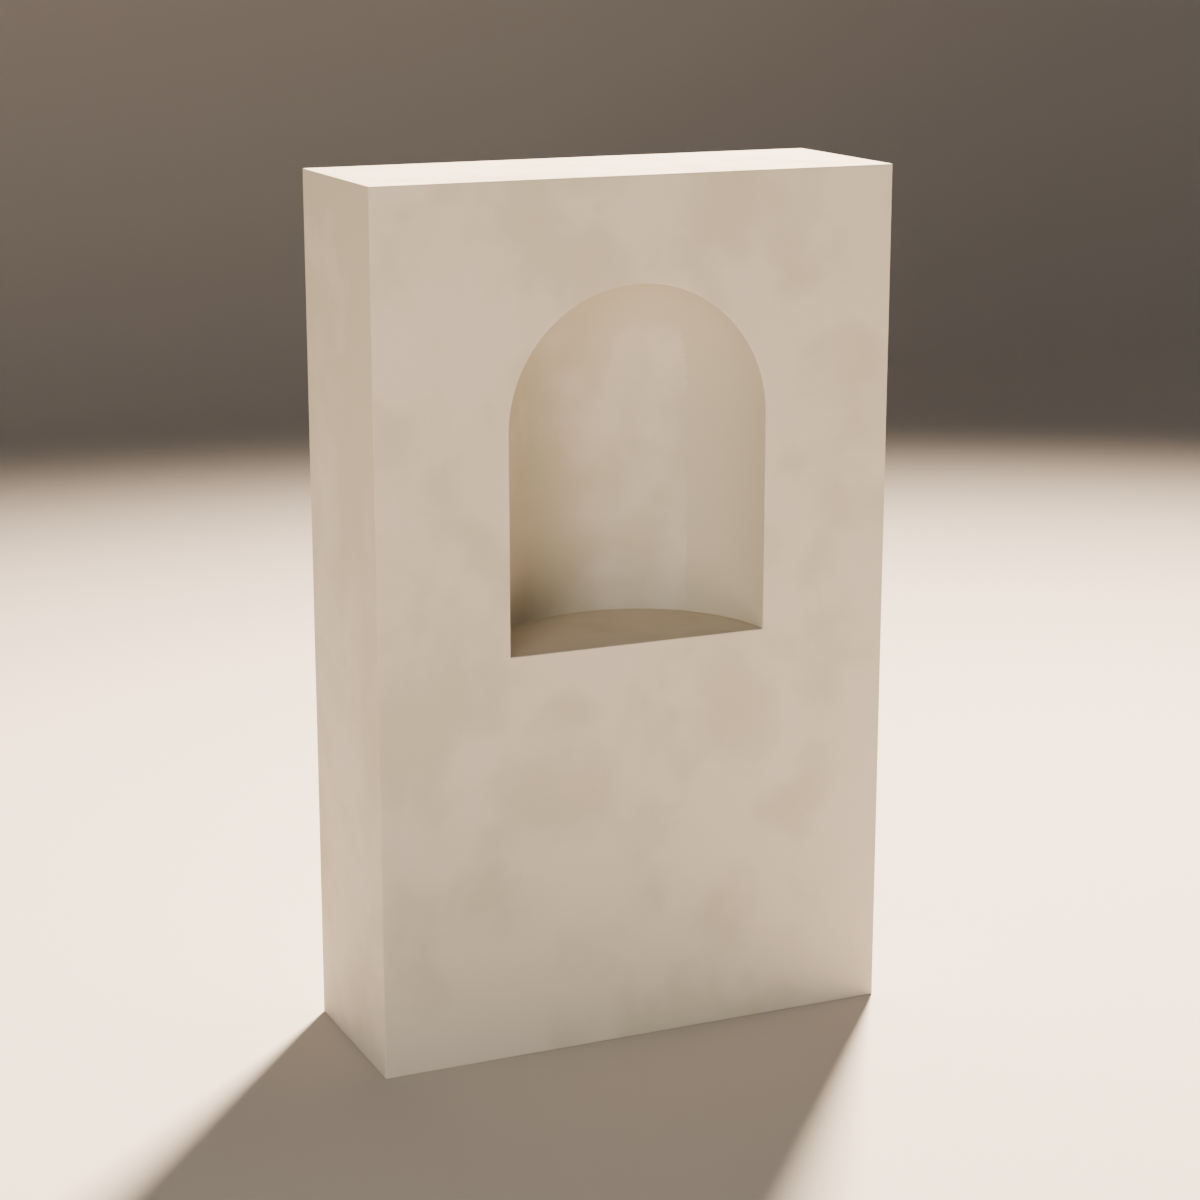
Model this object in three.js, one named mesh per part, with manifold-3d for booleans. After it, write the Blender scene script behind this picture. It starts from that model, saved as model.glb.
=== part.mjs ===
// A free-standing plastered block with one arched niche in its front face.
// Millimetres, +Z up. The origin is the middle of the underside, and the front faces -Y.
// The block is one solid: the niche is half-round in plan, with a flat floor and a
// quarter-sphere head, and what surrounds it is solid wall.

import * as THREE from 'three';
import { LoftGeometry } from 'three/addons/geometries/LoftGeometry.js';
import { RoundedBoxGeometry } from 'three/addons/geometries/RoundedBoxGeometry.js';
import { mergeVertices } from 'three/addons/utils/BufferGeometryUtils.js';
import Module from 'manifold-3d';

// The niche
const NICHE_RADIUS = 250; // half its width, its depth and the radius of its head
const STRAIGHT_HEIGHT = 400; // from the niche floor up to where the arch springs

// The walls left around the niche
const SIDE_WALL = 250; // on each side of the opening
const BACK_WALL = 100; // behind the deepest point of the niche
const SILL_HEIGHT = 760; // from the underside up to the niche floor, which is the sill
const TOP_WALL = 190; // from the crown of the arch up to the top face

// The eased arrises, all in plaster
const OUTER_ARRIS = 2; // radius along the block's own edges
const MOUTH_ARRIS = 2; // radius round the mouth of the niche

// How finely the round forms are stepped
const QUARTER_STEPS = 32; // steps in a quarter turn of the niche
const OUTER_ARRIS_STEPS = 2; // steps in each half of an outer arris
const MOUTH_ARRIS_STEPS = 4; // steps across the arris of the mouth

// The finish: a pale, warm grey lime plaster, matt
const PLASTER_COLOUR = 0xbab2a4;
const PLASTER_ROUGHNESS = 0.85;

// What follows from the sizes above
const BLOCK_WIDTH = 2 * (NICHE_RADIUS + SIDE_WALL);
const BLOCK_DEPTH = NICHE_RADIUS + BACK_WALL;
const SPRINGING_HEIGHT = SILL_HEIGHT + STRAIGHT_HEIGHT;
const BLOCK_HEIGHT = SPRINGING_HEIGHT + NICHE_RADIUS + TOP_WALL;
const FRONT_Y = -BLOCK_DEPTH / 2;

const wasm = await Module();
wasm.setup();

// Turns a closed geometry into a solid that can be cut.
function toSolid(geometry) {
  const bare = new THREE.BufferGeometry();
  bare.setAttribute('position', geometry.attributes.position);
  bare.setIndex(geometry.index);
  const merged = mergeVertices(bare);
  return new wasm.Manifold(new wasm.Mesh({
    numProp: 3,
    vertProperties: new Float32Array(merged.attributes.position.array),
    triVerts: new Uint32Array(merged.index.array),
  }));
}

// Turns a cut solid back into a geometry with flat facets.
function toGeometry(solid) {
  const mesh = solid.getMesh();
  const geometry = new THREE.BufferGeometry();
  geometry.setAttribute('position', new THREE.BufferAttribute(mesh.vertProperties, 3));
  geometry.setIndex(new THREE.BufferAttribute(mesh.triVerts, 1));
  geometry.computeVertexNormals();
  return geometry;
}

// The whole block before the niche is hollowed out, standing on z = 0.
function blockSolid() {
  const radius = Math.min(OUTER_ARRIS, BACK_WALL / 2, SIDE_WALL / 2);
  const geometry = new RoundedBoxGeometry(
    BLOCK_WIDTH, BLOCK_DEPTH, BLOCK_HEIGHT, OUTER_ARRIS_STEPS, radius);
  geometry.translate(0, 0, BLOCK_HEIGHT / 2);
  return toSolid(geometry);
}

// The hollow, as a full turned form with its axis in the front plane: the half behind
// the plane is the niche, and the half in front of it cuts nothing.
function hollowSolid() {
  const profile = [new THREE.Vector2(0, 0), new THREE.Vector2(NICHE_RADIUS, 0)];
  for (let step = 0; step < QUARTER_STEPS; step += 1) {
    const angle = (step / QUARTER_STEPS) * (Math.PI / 2);
    profile.push(new THREE.Vector2(
      NICHE_RADIUS * Math.cos(angle), STRAIGHT_HEIGHT + NICHE_RADIUS * Math.sin(angle)));
  }
  profile.push(new THREE.Vector2(0, STRAIGHT_HEIGHT + NICHE_RADIUS));
  const geometry = new THREE.LatheGeometry(profile, 4 * QUARTER_STEPS);
  geometry.rotateX(Math.PI / 2);
  geometry.translate(0, FRONT_Y, SILL_HEIGHT);
  return toSolid(geometry);
}

// The outline of the mouth, grown outwards and set back from the front plane.
function mouthOutline(growth, setback) {
  const radius = NICHE_RADIUS + growth;
  const y = FRONT_Y + setback;
  const outline = [
    new THREE.Vector3(-radius, y, SILL_HEIGHT - growth),
    new THREE.Vector3(radius, y, SILL_HEIGHT - growth),
  ];
  for (let step = 0; step <= 2 * QUARTER_STEPS; step += 1) {
    const angle = (step / QUARTER_STEPS) * (Math.PI / 2);
    outline.push(new THREE.Vector3(
      radius * Math.cos(angle), y, SPRINGING_HEIGHT + radius * Math.sin(angle)));
  }
  return outline;
}

// The cutter that eases the arris round the mouth. From inside the hollow it crosses the
// niche wall at a clear angle, widens along a quarter circle and ends in front of the block.
function mouthSolid() {
  const radius = Math.min(MOUTH_ARRIS, SIDE_WALL / 2, BACK_WALL / 2);
  const sections = [mouthOutline(-radius, 2 * radius)];
  for (let step = 0; step <= MOUTH_ARRIS_STEPS; step += 1) {
    const angle = (step / MOUTH_ARRIS_STEPS) * (Math.PI / 2);
    sections.push(mouthOutline(radius * (1 - Math.cos(angle)), radius * (1 - Math.sin(angle))));
  }
  sections.push(mouthOutline(radius, -radius));
  return toSolid(new LoftGeometry(sections, { capStart: true, capEnd: true }));
}

// The plastered block, with its niche.
function nicheBlock() {
  const solid = blockSolid().subtract(hollowSolid()).subtract(mouthSolid());
  const material = new THREE.MeshStandardMaterial({
    color: PLASTER_COLOUR,
    roughness: PLASTER_ROUGHNESS,
    metalness: 0,
  });
  const mesh = new THREE.Mesh(toGeometry(solid), material);
  mesh.name = 'niche_block';
  return mesh;
}

const part = new THREE.Group();
part.add(nicheBlock());

export default part;
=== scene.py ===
import math

import bmesh
import bpy
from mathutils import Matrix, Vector, geometry, noise


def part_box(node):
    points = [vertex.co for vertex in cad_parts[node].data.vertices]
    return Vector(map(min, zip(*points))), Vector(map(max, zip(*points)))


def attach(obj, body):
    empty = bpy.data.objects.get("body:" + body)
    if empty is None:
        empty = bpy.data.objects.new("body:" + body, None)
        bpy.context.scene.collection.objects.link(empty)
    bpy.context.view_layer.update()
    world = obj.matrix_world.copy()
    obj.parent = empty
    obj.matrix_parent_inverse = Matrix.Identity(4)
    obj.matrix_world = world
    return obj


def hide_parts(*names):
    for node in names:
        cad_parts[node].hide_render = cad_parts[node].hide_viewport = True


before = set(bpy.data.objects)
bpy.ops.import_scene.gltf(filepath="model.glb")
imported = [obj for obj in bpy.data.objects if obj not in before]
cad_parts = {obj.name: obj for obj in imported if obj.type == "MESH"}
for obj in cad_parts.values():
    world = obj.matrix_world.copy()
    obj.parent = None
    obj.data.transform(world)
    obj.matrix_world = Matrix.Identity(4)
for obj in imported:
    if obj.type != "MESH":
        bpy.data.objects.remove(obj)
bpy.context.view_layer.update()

# A free-standing plastered block with one arched niche in its front face, on a plain pale
# floor. Metres, +Z up. The origin is the middle of the underside, and the front faces -Y.

# The block, from the frame
BLOCK_LOW, BLOCK_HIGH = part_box("niche_block")
LEFT, FRONT, BASE = BLOCK_LOW
RIGHT, BACK, TOP = BLOCK_HIGH

# The niche: half-round in plan, with a quarter-sphere head
NICHE_RADIUS = 0.250
SILL_HEIGHT = 0.760
SPRINGING_HEIGHT = 1.160

# The plaster's surface
CELL = 0.010  # about the length of a quad on the flat faces
FLOOR_CLEARANCE = 0.008  # from the niche floor's inner points to the curved wall
ONLY_INSIDE = 1  # the way of filling that keeps only the triangles inside an outline
ARRIS_RADIUS = 0.002
ARRIS_STEPS = 3
SHARP_ANGLE = math.radians(45)  # edges that turn more than this are arrises
WELD_DISTANCE = 0.0001
WAVE_DEPTH = 0.0004  # how far the hand-trowelled surface falls short of a true plane
WAVE_LENGTH = 0.22
NOISE_LAYERS = 3  # layers of detail in the waves, and in how the stains stray
LAYER_FADE = 1.0  # higher makes the finer layers of the waves fainter
LAYER_STEP = 2.0  # each layer of the waves is this many times finer than the one before
FOOT_HEIGHT = 0.03  # the waves fade out below this, so that the foot stays level

# The plaster's colours, the soft stains on its front, and the spots of painted light at its lower
# right from the lit floor, each with its place across and up, its half width and its half height
ROSY = (0.511, 0.464, 0.392)
OLIVE = (0.440, 0.402, 0.311)
STAINS = (
    (-0.18, 1.47, 0.12, 0.07), (0.20, 1.54, 0.07, 0.07), (0.32, 1.41, 0.04, 0.04),
    (0.40, 1.25, 0.05, 0.05), (0.28, 1.08, 0.03, 0.04), (0.37, 0.89, 0.05, 0.09),
    (0.42, 0.71, 0.05, 0.10), (0.21, 0.61, 0.06, 0.08), (0.29, 0.40, 0.05, 0.05),
    (0.07, 0.63, 0.03, 0.03), (-0.43, 0.66, 0.11, 0.08), (-0.13, 0.66, 0.06, 0.04),
    (-0.19, 0.47, 0.13, 0.08), (-0.30, 0.93, 0.03, 0.09), (-0.47, 1.17, 0.04, 0.05),
    (-0.33, 0.31, 0.05, 0.05), (0.01, 0.32, 0.05, 0.05), (-0.11, 0.21, 0.06, 0.05),
    (0.19, 0.21, 0.05, 0.05),
)
# Painted light: brighter spots on the front's lower right, standing in for light thrown back by
# the lit floor
PAINTED_LIGHT_SPOTS = ((0.44, 0.37, 0.08, 0.20), (0.38, 0.08, 0.10, 0.07))
SPOT_REACH = 0.10  # how far stains and spots of painted light reach back from the front face
SPOT_FADE = 0.7  # with this stains and spots of painted light are at half their strength on their outlines
SPOT_WANDER = 0.05  # how far their outlines stray from ellipses
SPOT_SEED = 42  # chooses the way in which they stray
SPOT_RIPPLES = 7.0  # how many times they stray in a metre
STAIN_AND_PAINTED_LIGHT_WEIGHT = 0.15  # how much stains or painted shade of strength one add to the clouds' value; painted light takes away as much
# Painted shade in the niche, deepest at the crown and along the left edge
NICHE_PAINTED_SHADE = 0.8  # painted shade: how much the niche's wall is darkened at the back
EDGE_PAINTED_SHADE = 0.8  # how much deeper that painted shade is at the crown and at the left edge
LAP_STAIN = 1.9  # the stain of the second lap of plaster, on the wall that faces mostly left
# Painted shade: the left side darkened towards its top
SIDE_PAINTED_SHADE = 1.4  # painted shade on the left side's top
SIDE_PAINTED_SHADE_FOOT = 0.70  # the height at which the side's painted shade begins
SIDE_PAINTED_SHADE_RISE = 0.45  # from there up to its full strength

# The clouds in the plaster's colour: broad ones and small ones, mixed
BROAD_CLOUD = 0.24
SMALL_CLOUD = 0.08
CLOUD_DETAIL = 3.0
BROAD_SHARE = 0.6  # how much the broad ones count, against the small ones
CLOUD_SQUASH = 0.85  # less than one makes the clouds taller than wide
CLOUD_WANDER = 0.10  # how far the clouds stray from round
SWAY_SIZE = 0.20  # over what length they stray
SWAY_DETAIL = 1.0
CLOUD_EDGES = (0.46, 0.70)  # values of the clouds where the olive begins and is full

# The plaster's sheen and fine relief
PRESSED_EDGES = (0.3, 0.7)  # values of the small clouds between which the roughness rises
PLASTER_ROUGHNESS = (0.76, 0.90)  # where the trowel pressed hardest, and least
GRAIN_SIZE = 0.004
TROWEL_MARK_SIZE = 0.05
FINE_DETAIL = 2.0
GRAIN_SHARE = 0.4  # how much the grain counts, against the trowel marks
RELIEF_STRENGTH = 0.25
RELIEF_DEPTH = 0.001

# The camera
CAMERA_PLACE = (-2.0521, -4.6255, 2.0761)
CAMERA_AZIMUTH = -23.923
CAMERA_ELEVATION = 14.159
CAMERA_LENS = 84.30
CAMERA_SENSOR = 36.0

# The studio
KEY_PLACE = (3.8, 4.58, 9.3)
KEY_TARGET = (-0.6, -3.4, 0.0)
KEY_POWER = 56500.0
KEY_COLOUR = (1.0, 0.785, 0.584)
KEY_RADIUS = 0.6
KEY_ANGLE = math.radians(89.6)
KEY_BLEND = 1.0
FILL_PLACE = (-3.9, -4.7, 1.5)
FILL_TARGET = (0.0, -0.3, 0.2)
FILL_POWER = 302.0
FILL_COLOUR = (1.0, 0.905, 0.770)
FILL_SIZE = 2.2
ROOM_COLOUR = (0.94, 0.92, 0.91)
ROOM_STRENGTH = 0.195
FLOOR_COLOUR = (0.48, 0.44, 0.40)
FLOOR_ROUGHNESS = 0.9
FLOOR_REACH = 30.0  # how far the floor runs to each side and to the front
SWEEP_START = 6.2  # where the floor begins to curve up behind the block
SWEEP_RADIUS = 4.0
SWEEP_STEPS = 48
WALL_HEIGHT = 14.0


def marks(start, end):
    """Evenly spaced values from start to end, about one cell apart, with both ends."""
    count = max(1, round(abs(end - start) / CELL))
    return [start + (end - start) * i / count for i in range(count + 1)]


def add_sheet(bm, rows):
    """Adds a sheet of quads through rows of points."""
    grid = [[bm.verts.new(point) for point in row] for row in rows]
    for lower, upper in zip(grid, grid[1:]):
        for i in range(len(lower) - 1):
            bm.faces.new((lower[i], lower[i + 1], upper[i + 1], upper[i]))


def between(inner, outer, count):
    """Rows of points that run in even steps from one row to another."""
    return [[a.lerp(b, k / count) for a, b in zip(inner, outer)] for k in range(count + 1)]


def niche_wall_point(angle, z):
    """A point on the niche's upright wall: angle 0 is the right edge of the mouth."""
    return Vector((NICHE_RADIUS * math.cos(angle), FRONT + NICHE_RADIUS * math.sin(angle), z))


def block_mesh():
    """The block's closed mesh, with a sheet for each face and for the niche."""
    bm = bmesh.new()
    x_marks = (marks(LEFT, -NICHE_RADIUS) + marks(-NICHE_RADIUS, NICHE_RADIUS)[1:]
               + marks(NICHE_RADIUS, RIGHT)[1:])
    y_marks = marks(FRONT, BACK)
    dado_marks = marks(BASE, SILL_HEIGHT)
    jamb_marks = marks(SILL_HEIGHT, SPRINGING_HEIGHT)
    head_marks = marks(SPRINGING_HEIGHT, TOP)
    z_marks = dado_marks + jamb_marks[1:] + head_marks[1:]

    # The plain faces
    add_sheet(bm, [[Vector((x, BACK, z)) for x in x_marks] for z in z_marks])
    for x in (LEFT, RIGHT):
        add_sheet(bm, [[Vector((x, y, z)) for y in y_marks] for z in z_marks])
    for z in (BASE, TOP):
        add_sheet(bm, [[Vector((x, y, z)) for x in x_marks] for y in y_marks])

    # The front face: below the niche, beside it, and round its arch
    add_sheet(bm, [[Vector((x, FRONT, z)) for x in x_marks] for z in dado_marks])
    for pier in (marks(LEFT, -NICHE_RADIUS), marks(NICHE_RADIUS, RIGHT)):
        add_sheet(bm, [[Vector((x, FRONT, z)) for x in pier] for z in jamb_marks])
    outline = ([Vector((RIGHT, FRONT, z)) for z in head_marks]
               + [Vector((x, FRONT, TOP)) for x in reversed(x_marks[1:-1])]
               + [Vector((LEFT, FRONT, z)) for z in reversed(head_marks)])
    arc_steps = len(outline) - 1
    arc_angles = [math.pi * i / arc_steps for i in range(arc_steps + 1)]
    springing = Vector((0, FRONT, SPRINGING_HEIGHT))
    arch = [springing + NICHE_RADIUS * Vector((math.cos(a), 0, math.sin(a))) for a in arc_angles]
    add_sheet(bm, between(arch, outline, len(marks(NICHE_RADIUS, RIGHT)) - 1))

    # The niche: its upright wall, its floor and its head
    add_sheet(bm, [[niche_wall_point(a, z) for a in arc_angles] for z in jamb_marks])
    add_floor(bm, [niche_wall_point(a, SILL_HEIGHT) for a in arc_angles])
    add_head(bm, springing, arc_steps // 4)

    bmesh.ops.remove_doubles(bm, verts=bm.verts, dist=WELD_DISTANCE)
    bmesh.ops.recalc_face_normals(bm, faces=bm.faces)
    return bm


def add_floor(bm, wall_foot):
    """The niche's flat floor: triangles through its outline and through even points inside it."""
    sill = [Vector((x, FRONT, SILL_HEIGHT)) for x in marks(-NICHE_RADIUS, NICHE_RADIUS)]
    outline = [point.xy for point in wall_foot + sill[1:-1]]
    inner = [Vector((x, y)) for y in marks(FRONT, FRONT + NICHE_RADIUS)[1:]
             for x in marks(-NICHE_RADIUS, NICHE_RADIUS)
             if math.hypot(x, y - FRONT) < NICHE_RADIUS - FLOOR_CLEARANCE]
    filled = geometry.delaunay_2d_cdt(
        outline + inner, [], [range(len(outline))], ONLY_INSIDE, WELD_DISTANCE)
    corners, triangles = filled[0], filled[2]
    verts = [bm.verts.new((corner.x, corner.y, SILL_HEIGHT)) for corner in corners]
    for triangle in triangles:
        bm.faces.new([verts[i] for i in triangle])


def add_head(bm, centre, steps):
    """The quarter-sphere head: three even sheets in each half, as on a ball made from a cube."""
    slopes = [math.tan(math.pi / 4 * i / steps) for i in range(steps + 1)]
    for side in (-1, 1):
        for turn in range(3):
            rows = []
            for b in slopes:
                row = []
                for a in slopes:
                    sides = (1, a, b)
                    x, y, z = sides[-turn], sides[1 - turn], sides[2 - turn]
                    row.append(centre + NICHE_RADIUS * Vector((side * x, y, z)).normalized())
                rows.append(row)
            add_sheet(bm, rows)


def ease_arrises(bm):
    """Rounds every sharp edge with a small radius, as a trowel leaves it."""
    sharp = [edge for edge in bm.edges if edge.calc_face_angle() > SHARP_ANGLE]
    bmesh.ops.bevel(bm, geom=sharp, offset=ARRIS_RADIUS, offset_type="OFFSET",
                    segments=ARRIS_STEPS, profile=0.5, affect="EDGES", clamp_overlap=False)


def trowel(bm):
    """Lets the surface fall short of true planes by parts of a millimetre, as hand work does."""
    bm.normal_update()
    for vertex in bm.verts:
        wave = noise.fractal(vertex.co / WAVE_LENGTH, LAYER_FADE, LAYER_STEP, NOISE_LAYERS)
        depth = WAVE_DEPTH * min(1.0, max(0.0, 0.5 + 0.5 * wave))
        vertex.co -= depth * min(1.0, vertex.co.z / FOOT_HEIGHT) * vertex.normal


def niche_lap_and_painted_shade(point):
    """The painted shade of the niche's wall and head, weakest at the back and deeper at the crown
    and the left edge; on the wall that faces mostly left, the darker tone of a second lap of
    plaster.
    """
    across, depth = point.x, point.y - FRONT
    rise = max(0.0, point.z - SPRINGING_HEIGHT)
    off_axis = Vector((across, depth, rise)).length
    if abs(off_axis - NICHE_RADIUS) > ARRIS_RADIUS or depth < ARRIS_RADIUS:
        return 0.0
    if point.z < SILL_HEIGHT - ARRIS_RADIUS:
        return 0.0
    if across > max(depth, rise):
        return LAP_STAIN
    # Painted shade in the recess, deeper towards the crown and the left edge
    return NICHE_PAINTED_SHADE + EDGE_PAINTED_SHADE * max(rise, -across) / NICHE_RADIUS


def side_painted_shade(point):
    """The broad painted shade on the left side, which grows stronger upwards."""
    if point.x > LEFT + ARRIS_RADIUS:
        return 0.0
    # Painted shade, darker towards the top of the side
    return SIDE_PAINTED_SHADE * min(1.0, max(0.0, (point.z - SIDE_PAINTED_SHADE_FOOT) / SIDE_PAINTED_SHADE_RISE))


def cover(spots, point):
    """How much of a point the given spots cover together, from 0 to 1."""
    bare = 1.0
    for across, up, half_width, half_height in spots:
        steps = ((point.x - across) / half_width, (point.z - up) / half_height,
                 (point.y - FRONT) / SPOT_REACH)
        bare *= 1.0 - math.exp(-SPOT_FADE * sum(step * step for step in steps))
    return 1.0 - bare


def stain_and_painted_light_strength(point):
    """How much a point is darkened by stains and painted shade. It is less than 0 where painted
    light brightens it.
    """
    ripple = noise.turbulence_vector(point * SPOT_RIPPLES, NOISE_LAYERS, False)
    strayed = point + SPOT_WANDER * ripple
    # The front's stains less its spots of painted light, then the painted shade of the niche and
    # the left side
    on_front = cover(STAINS, strayed) - cover(PAINTED_LIGHT_SPOTS, strayed)
    return on_front + niche_lap_and_painted_shade(point) + side_painted_shade(point)


def plastered_block():
    """The plastered block, as one mesh object."""
    bm = block_mesh()
    ease_arrises(bm)
    trowel(bm)
    mesh = bpy.data.meshes.new("plastered_block")
    bm.to_mesh(mesh)
    bm.free()
    noise.seed_set(SPOT_SEED)
    # The stains, the painted shade and the painted light, kept on the points
    stain_and_painted_light = mesh.attributes.new("stain_and_painted_light", "FLOAT", "POINT")
    stain_and_painted_light.data.foreach_set("value", [stain_and_painted_light_strength(vertex.co) for vertex in mesh.vertices])
    mesh.shade_smooth()
    block = bpy.data.objects.new("plastered_block", mesh)
    bpy.context.scene.collection.objects.link(block)
    weighted = block.modifiers.new("flat_faces_stay_flat", "WEIGHTED_NORMAL")
    weighted.keep_sharp = False
    return block


def add_node(tree, kind, inputs, **settings):
    """A new node with its settings, and with its inputs given a value or linked to a socket."""
    node = tree.nodes.new(kind)
    for name, value in settings.items():
        setattr(node, name, value)
    for name, value in inputs.items():
        if isinstance(value, bpy.types.NodeSocket):
            tree.links.new(value, node.inputs[name])
        else:
            node.inputs[name].default_value = value
    return node


def cloud(tree, place, size, detail):
    """Soft clouds of about the given size in metres, as a noise node around 0.5."""
    return add_node(tree, "ShaderNodeTexNoise",
                    {"Vector": place, "Scale": 1.0 / size, "Detail": detail})


def weigh(tree, first, first_weight, second, second_weight):
    """The weighted sum of two sockets, as a socket."""
    scaled = add_node(tree, "ShaderNodeMath", {0: second, 1: second_weight}, operation="MULTIPLY")
    total = add_node(tree, "ShaderNodeMath", {0: first, 1: first_weight, 2: scaled.outputs[0]},
                     operation="MULTIPLY_ADD")
    return total.outputs[0]


def stretch(tree, value, old_ends, new_ends):
    """A socket on which one range of a value is spread smoothly over another range."""
    ends = {"From Min": old_ends[0], "From Max": old_ends[1],
            "To Min": new_ends[0], "To Max": new_ends[1]}
    node = add_node(tree, "ShaderNodeMapRange", {"Value": value, **ends},
                    interpolation_type="SMOOTHSTEP")
    return node.outputs["Result"]


def plaster_material():
    """Smooth lime plaster: rosy grey with soft olive clouds, matt, with a fine grain."""
    material = bpy.data.materials.new("lime_plaster")
    material.use_nodes = True
    tree = material.node_tree
    shader = tree.nodes["Principled BSDF"]
    place = tree.nodes.new("ShaderNodeTexCoord").outputs["Object"]
    upright = add_node(tree, "ShaderNodeMapping",
                       {"Vector": place, "Scale": (1.0, 1.0, CLOUD_SQUASH)}).outputs["Vector"]
    sway = cloud(tree, place, SWAY_SIZE, SWAY_DETAIL).outputs["Color"]
    strayed = add_node(tree, "ShaderNodeVectorMath",
                       {0: sway, 1: (CLOUD_WANDER,) * 3, 2: upright},
                       operation="MULTIPLY_ADD").outputs["Vector"]
    stain_and_painted_light = add_node(tree, "ShaderNodeAttribute", {}, attribute_name="stain_and_painted_light").outputs["Fac"]

    # Colour: olive clouds over rosy grey, stronger where the stains and the painted shade are and
    # weaker where the painted light is
    broad = cloud(tree, strayed, BROAD_CLOUD, CLOUD_DETAIL).outputs["Fac"]
    small = cloud(tree, strayed, SMALL_CLOUD, CLOUD_DETAIL).outputs["Fac"]
    plain = weigh(tree, broad, BROAD_SHARE, small, 1.0 - BROAD_SHARE)
    clouds_stains_and_painted_light = weigh(tree, plain, 1.0, stain_and_painted_light, STAIN_AND_PAINTED_LIGHT_WEIGHT)
    olive = stretch(tree, clouds_stains_and_painted_light, CLOUD_EDGES, (0.0, 1.0))
    colour = add_node(tree, "ShaderNodeMix", {"Factor": olive, "A": (*ROSY, 1), "B": (*OLIVE, 1)},
                      data_type="RGBA")
    tree.links.new(colour.outputs["Result"], shader.inputs["Base Color"])

    # Roughness: a little smoother where the trowel pressed harder
    roughness = stretch(tree, small, PRESSED_EDGES, PLASTER_ROUGHNESS)
    tree.links.new(roughness, shader.inputs["Roughness"])

    # Relief: fine sandy grain over faint trowel marks
    grain = cloud(tree, place, GRAIN_SIZE, FINE_DETAIL).outputs["Fac"]
    trowel_marks = cloud(tree, place, TROWEL_MARK_SIZE, FINE_DETAIL).outputs["Fac"]
    height = weigh(tree, grain, GRAIN_SHARE, trowel_marks, 1.0 - GRAIN_SHARE)
    relief = add_node(tree, "ShaderNodeBump",
                      {"Height": height, "Strength": RELIEF_STRENGTH, "Distance": RELIEF_DEPTH})
    tree.links.new(relief.outputs["Normal"], shader.inputs["Normal"])
    return material


def floor():
    """The plain pale floor, which curves up into a plain wall far behind the block."""
    profile = [(-FLOOR_REACH, 0.0)]
    for step in range(SWEEP_STEPS + 1):
        angle = math.pi / 2 * step / SWEEP_STEPS
        profile.append((SWEEP_START + SWEEP_RADIUS * math.sin(angle),
                        SWEEP_RADIUS * (1 - math.cos(angle))))
    profile.append((SWEEP_START + SWEEP_RADIUS, WALL_HEIGHT))
    corners = [(x, y, z) for y, z in profile for x in (-FLOOR_REACH, FLOOR_REACH)]
    strips = [(i, i + 1, i + 3, i + 2) for i in range(0, len(corners) - 2, 2)]
    mesh = bpy.data.meshes.new("floor")
    mesh.from_pydata(corners, [], strips)
    mesh.shade_smooth()
    material = bpy.data.materials.new("pale_floor")
    material.use_nodes = True
    shader = material.node_tree.nodes["Principled BSDF"]
    shader.inputs["Base Color"].default_value = (*FLOOR_COLOUR, 1)
    shader.inputs["Roughness"].default_value = FLOOR_ROUGHNESS
    mesh.materials.append(material)
    ground = bpy.data.objects.new("floor", mesh)
    bpy.context.scene.collection.objects.link(ground)


def hang(light, place, target):
    """Puts a light in its place and aims it at a target."""
    lamp = bpy.data.objects.new(light.name, light)
    lamp.location = place
    aim = Vector(target) - Vector(place)
    lamp.rotation_euler = aim.to_track_quat("-Z", "Y").to_euler()
    bpy.context.scene.collection.objects.link(lamp)


def key_light():
    """A soft light from behind on the right, whose pool ends some way behind the block."""
    light = bpy.data.lights.new("key", "SPOT")
    light.energy = KEY_POWER
    light.color = KEY_COLOUR
    light.shadow_soft_size = KEY_RADIUS
    light.spot_size = KEY_ANGLE
    light.spot_blend = KEY_BLEND
    hang(light, KEY_PLACE, KEY_TARGET)


def fill_light():
    """A wide, low, square light at the front left, as from a pale wall."""
    light = bpy.data.lights.new("fill", "AREA")
    light.energy = FILL_POWER
    light.color = FILL_COLOUR
    light.size = FILL_SIZE
    hang(light, FILL_PLACE, FILL_TARGET)


def room_light():
    """The dim, even light of the room."""
    world = bpy.data.worlds.new("room")
    world.use_nodes = True
    background = world.node_tree.nodes["Background"]
    background.inputs["Color"].default_value = (*ROOM_COLOUR, 1)
    background.inputs["Strength"].default_value = ROOM_STRENGTH
    bpy.context.scene.world = world


def camera():
    """The camera, at the front left and a little higher than the block."""
    lens = bpy.data.cameras.new("camera")
    lens.lens = CAMERA_LENS
    lens.sensor_width = CAMERA_SENSOR
    lens.sensor_fit = "HORIZONTAL"
    viewer = bpy.data.objects.new("camera", lens)
    viewer.location = CAMERA_PLACE
    viewer.rotation_euler = (math.radians(90 - CAMERA_ELEVATION), 0, math.radians(CAMERA_AZIMUTH))
    bpy.context.scene.collection.objects.link(viewer)
    bpy.context.scene.camera = viewer


camera()
floor()
key_light()
fill_light()
room_light()

block = plastered_block()
block.data.materials.append(plaster_material())
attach(block, "root")
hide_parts("niche_block")
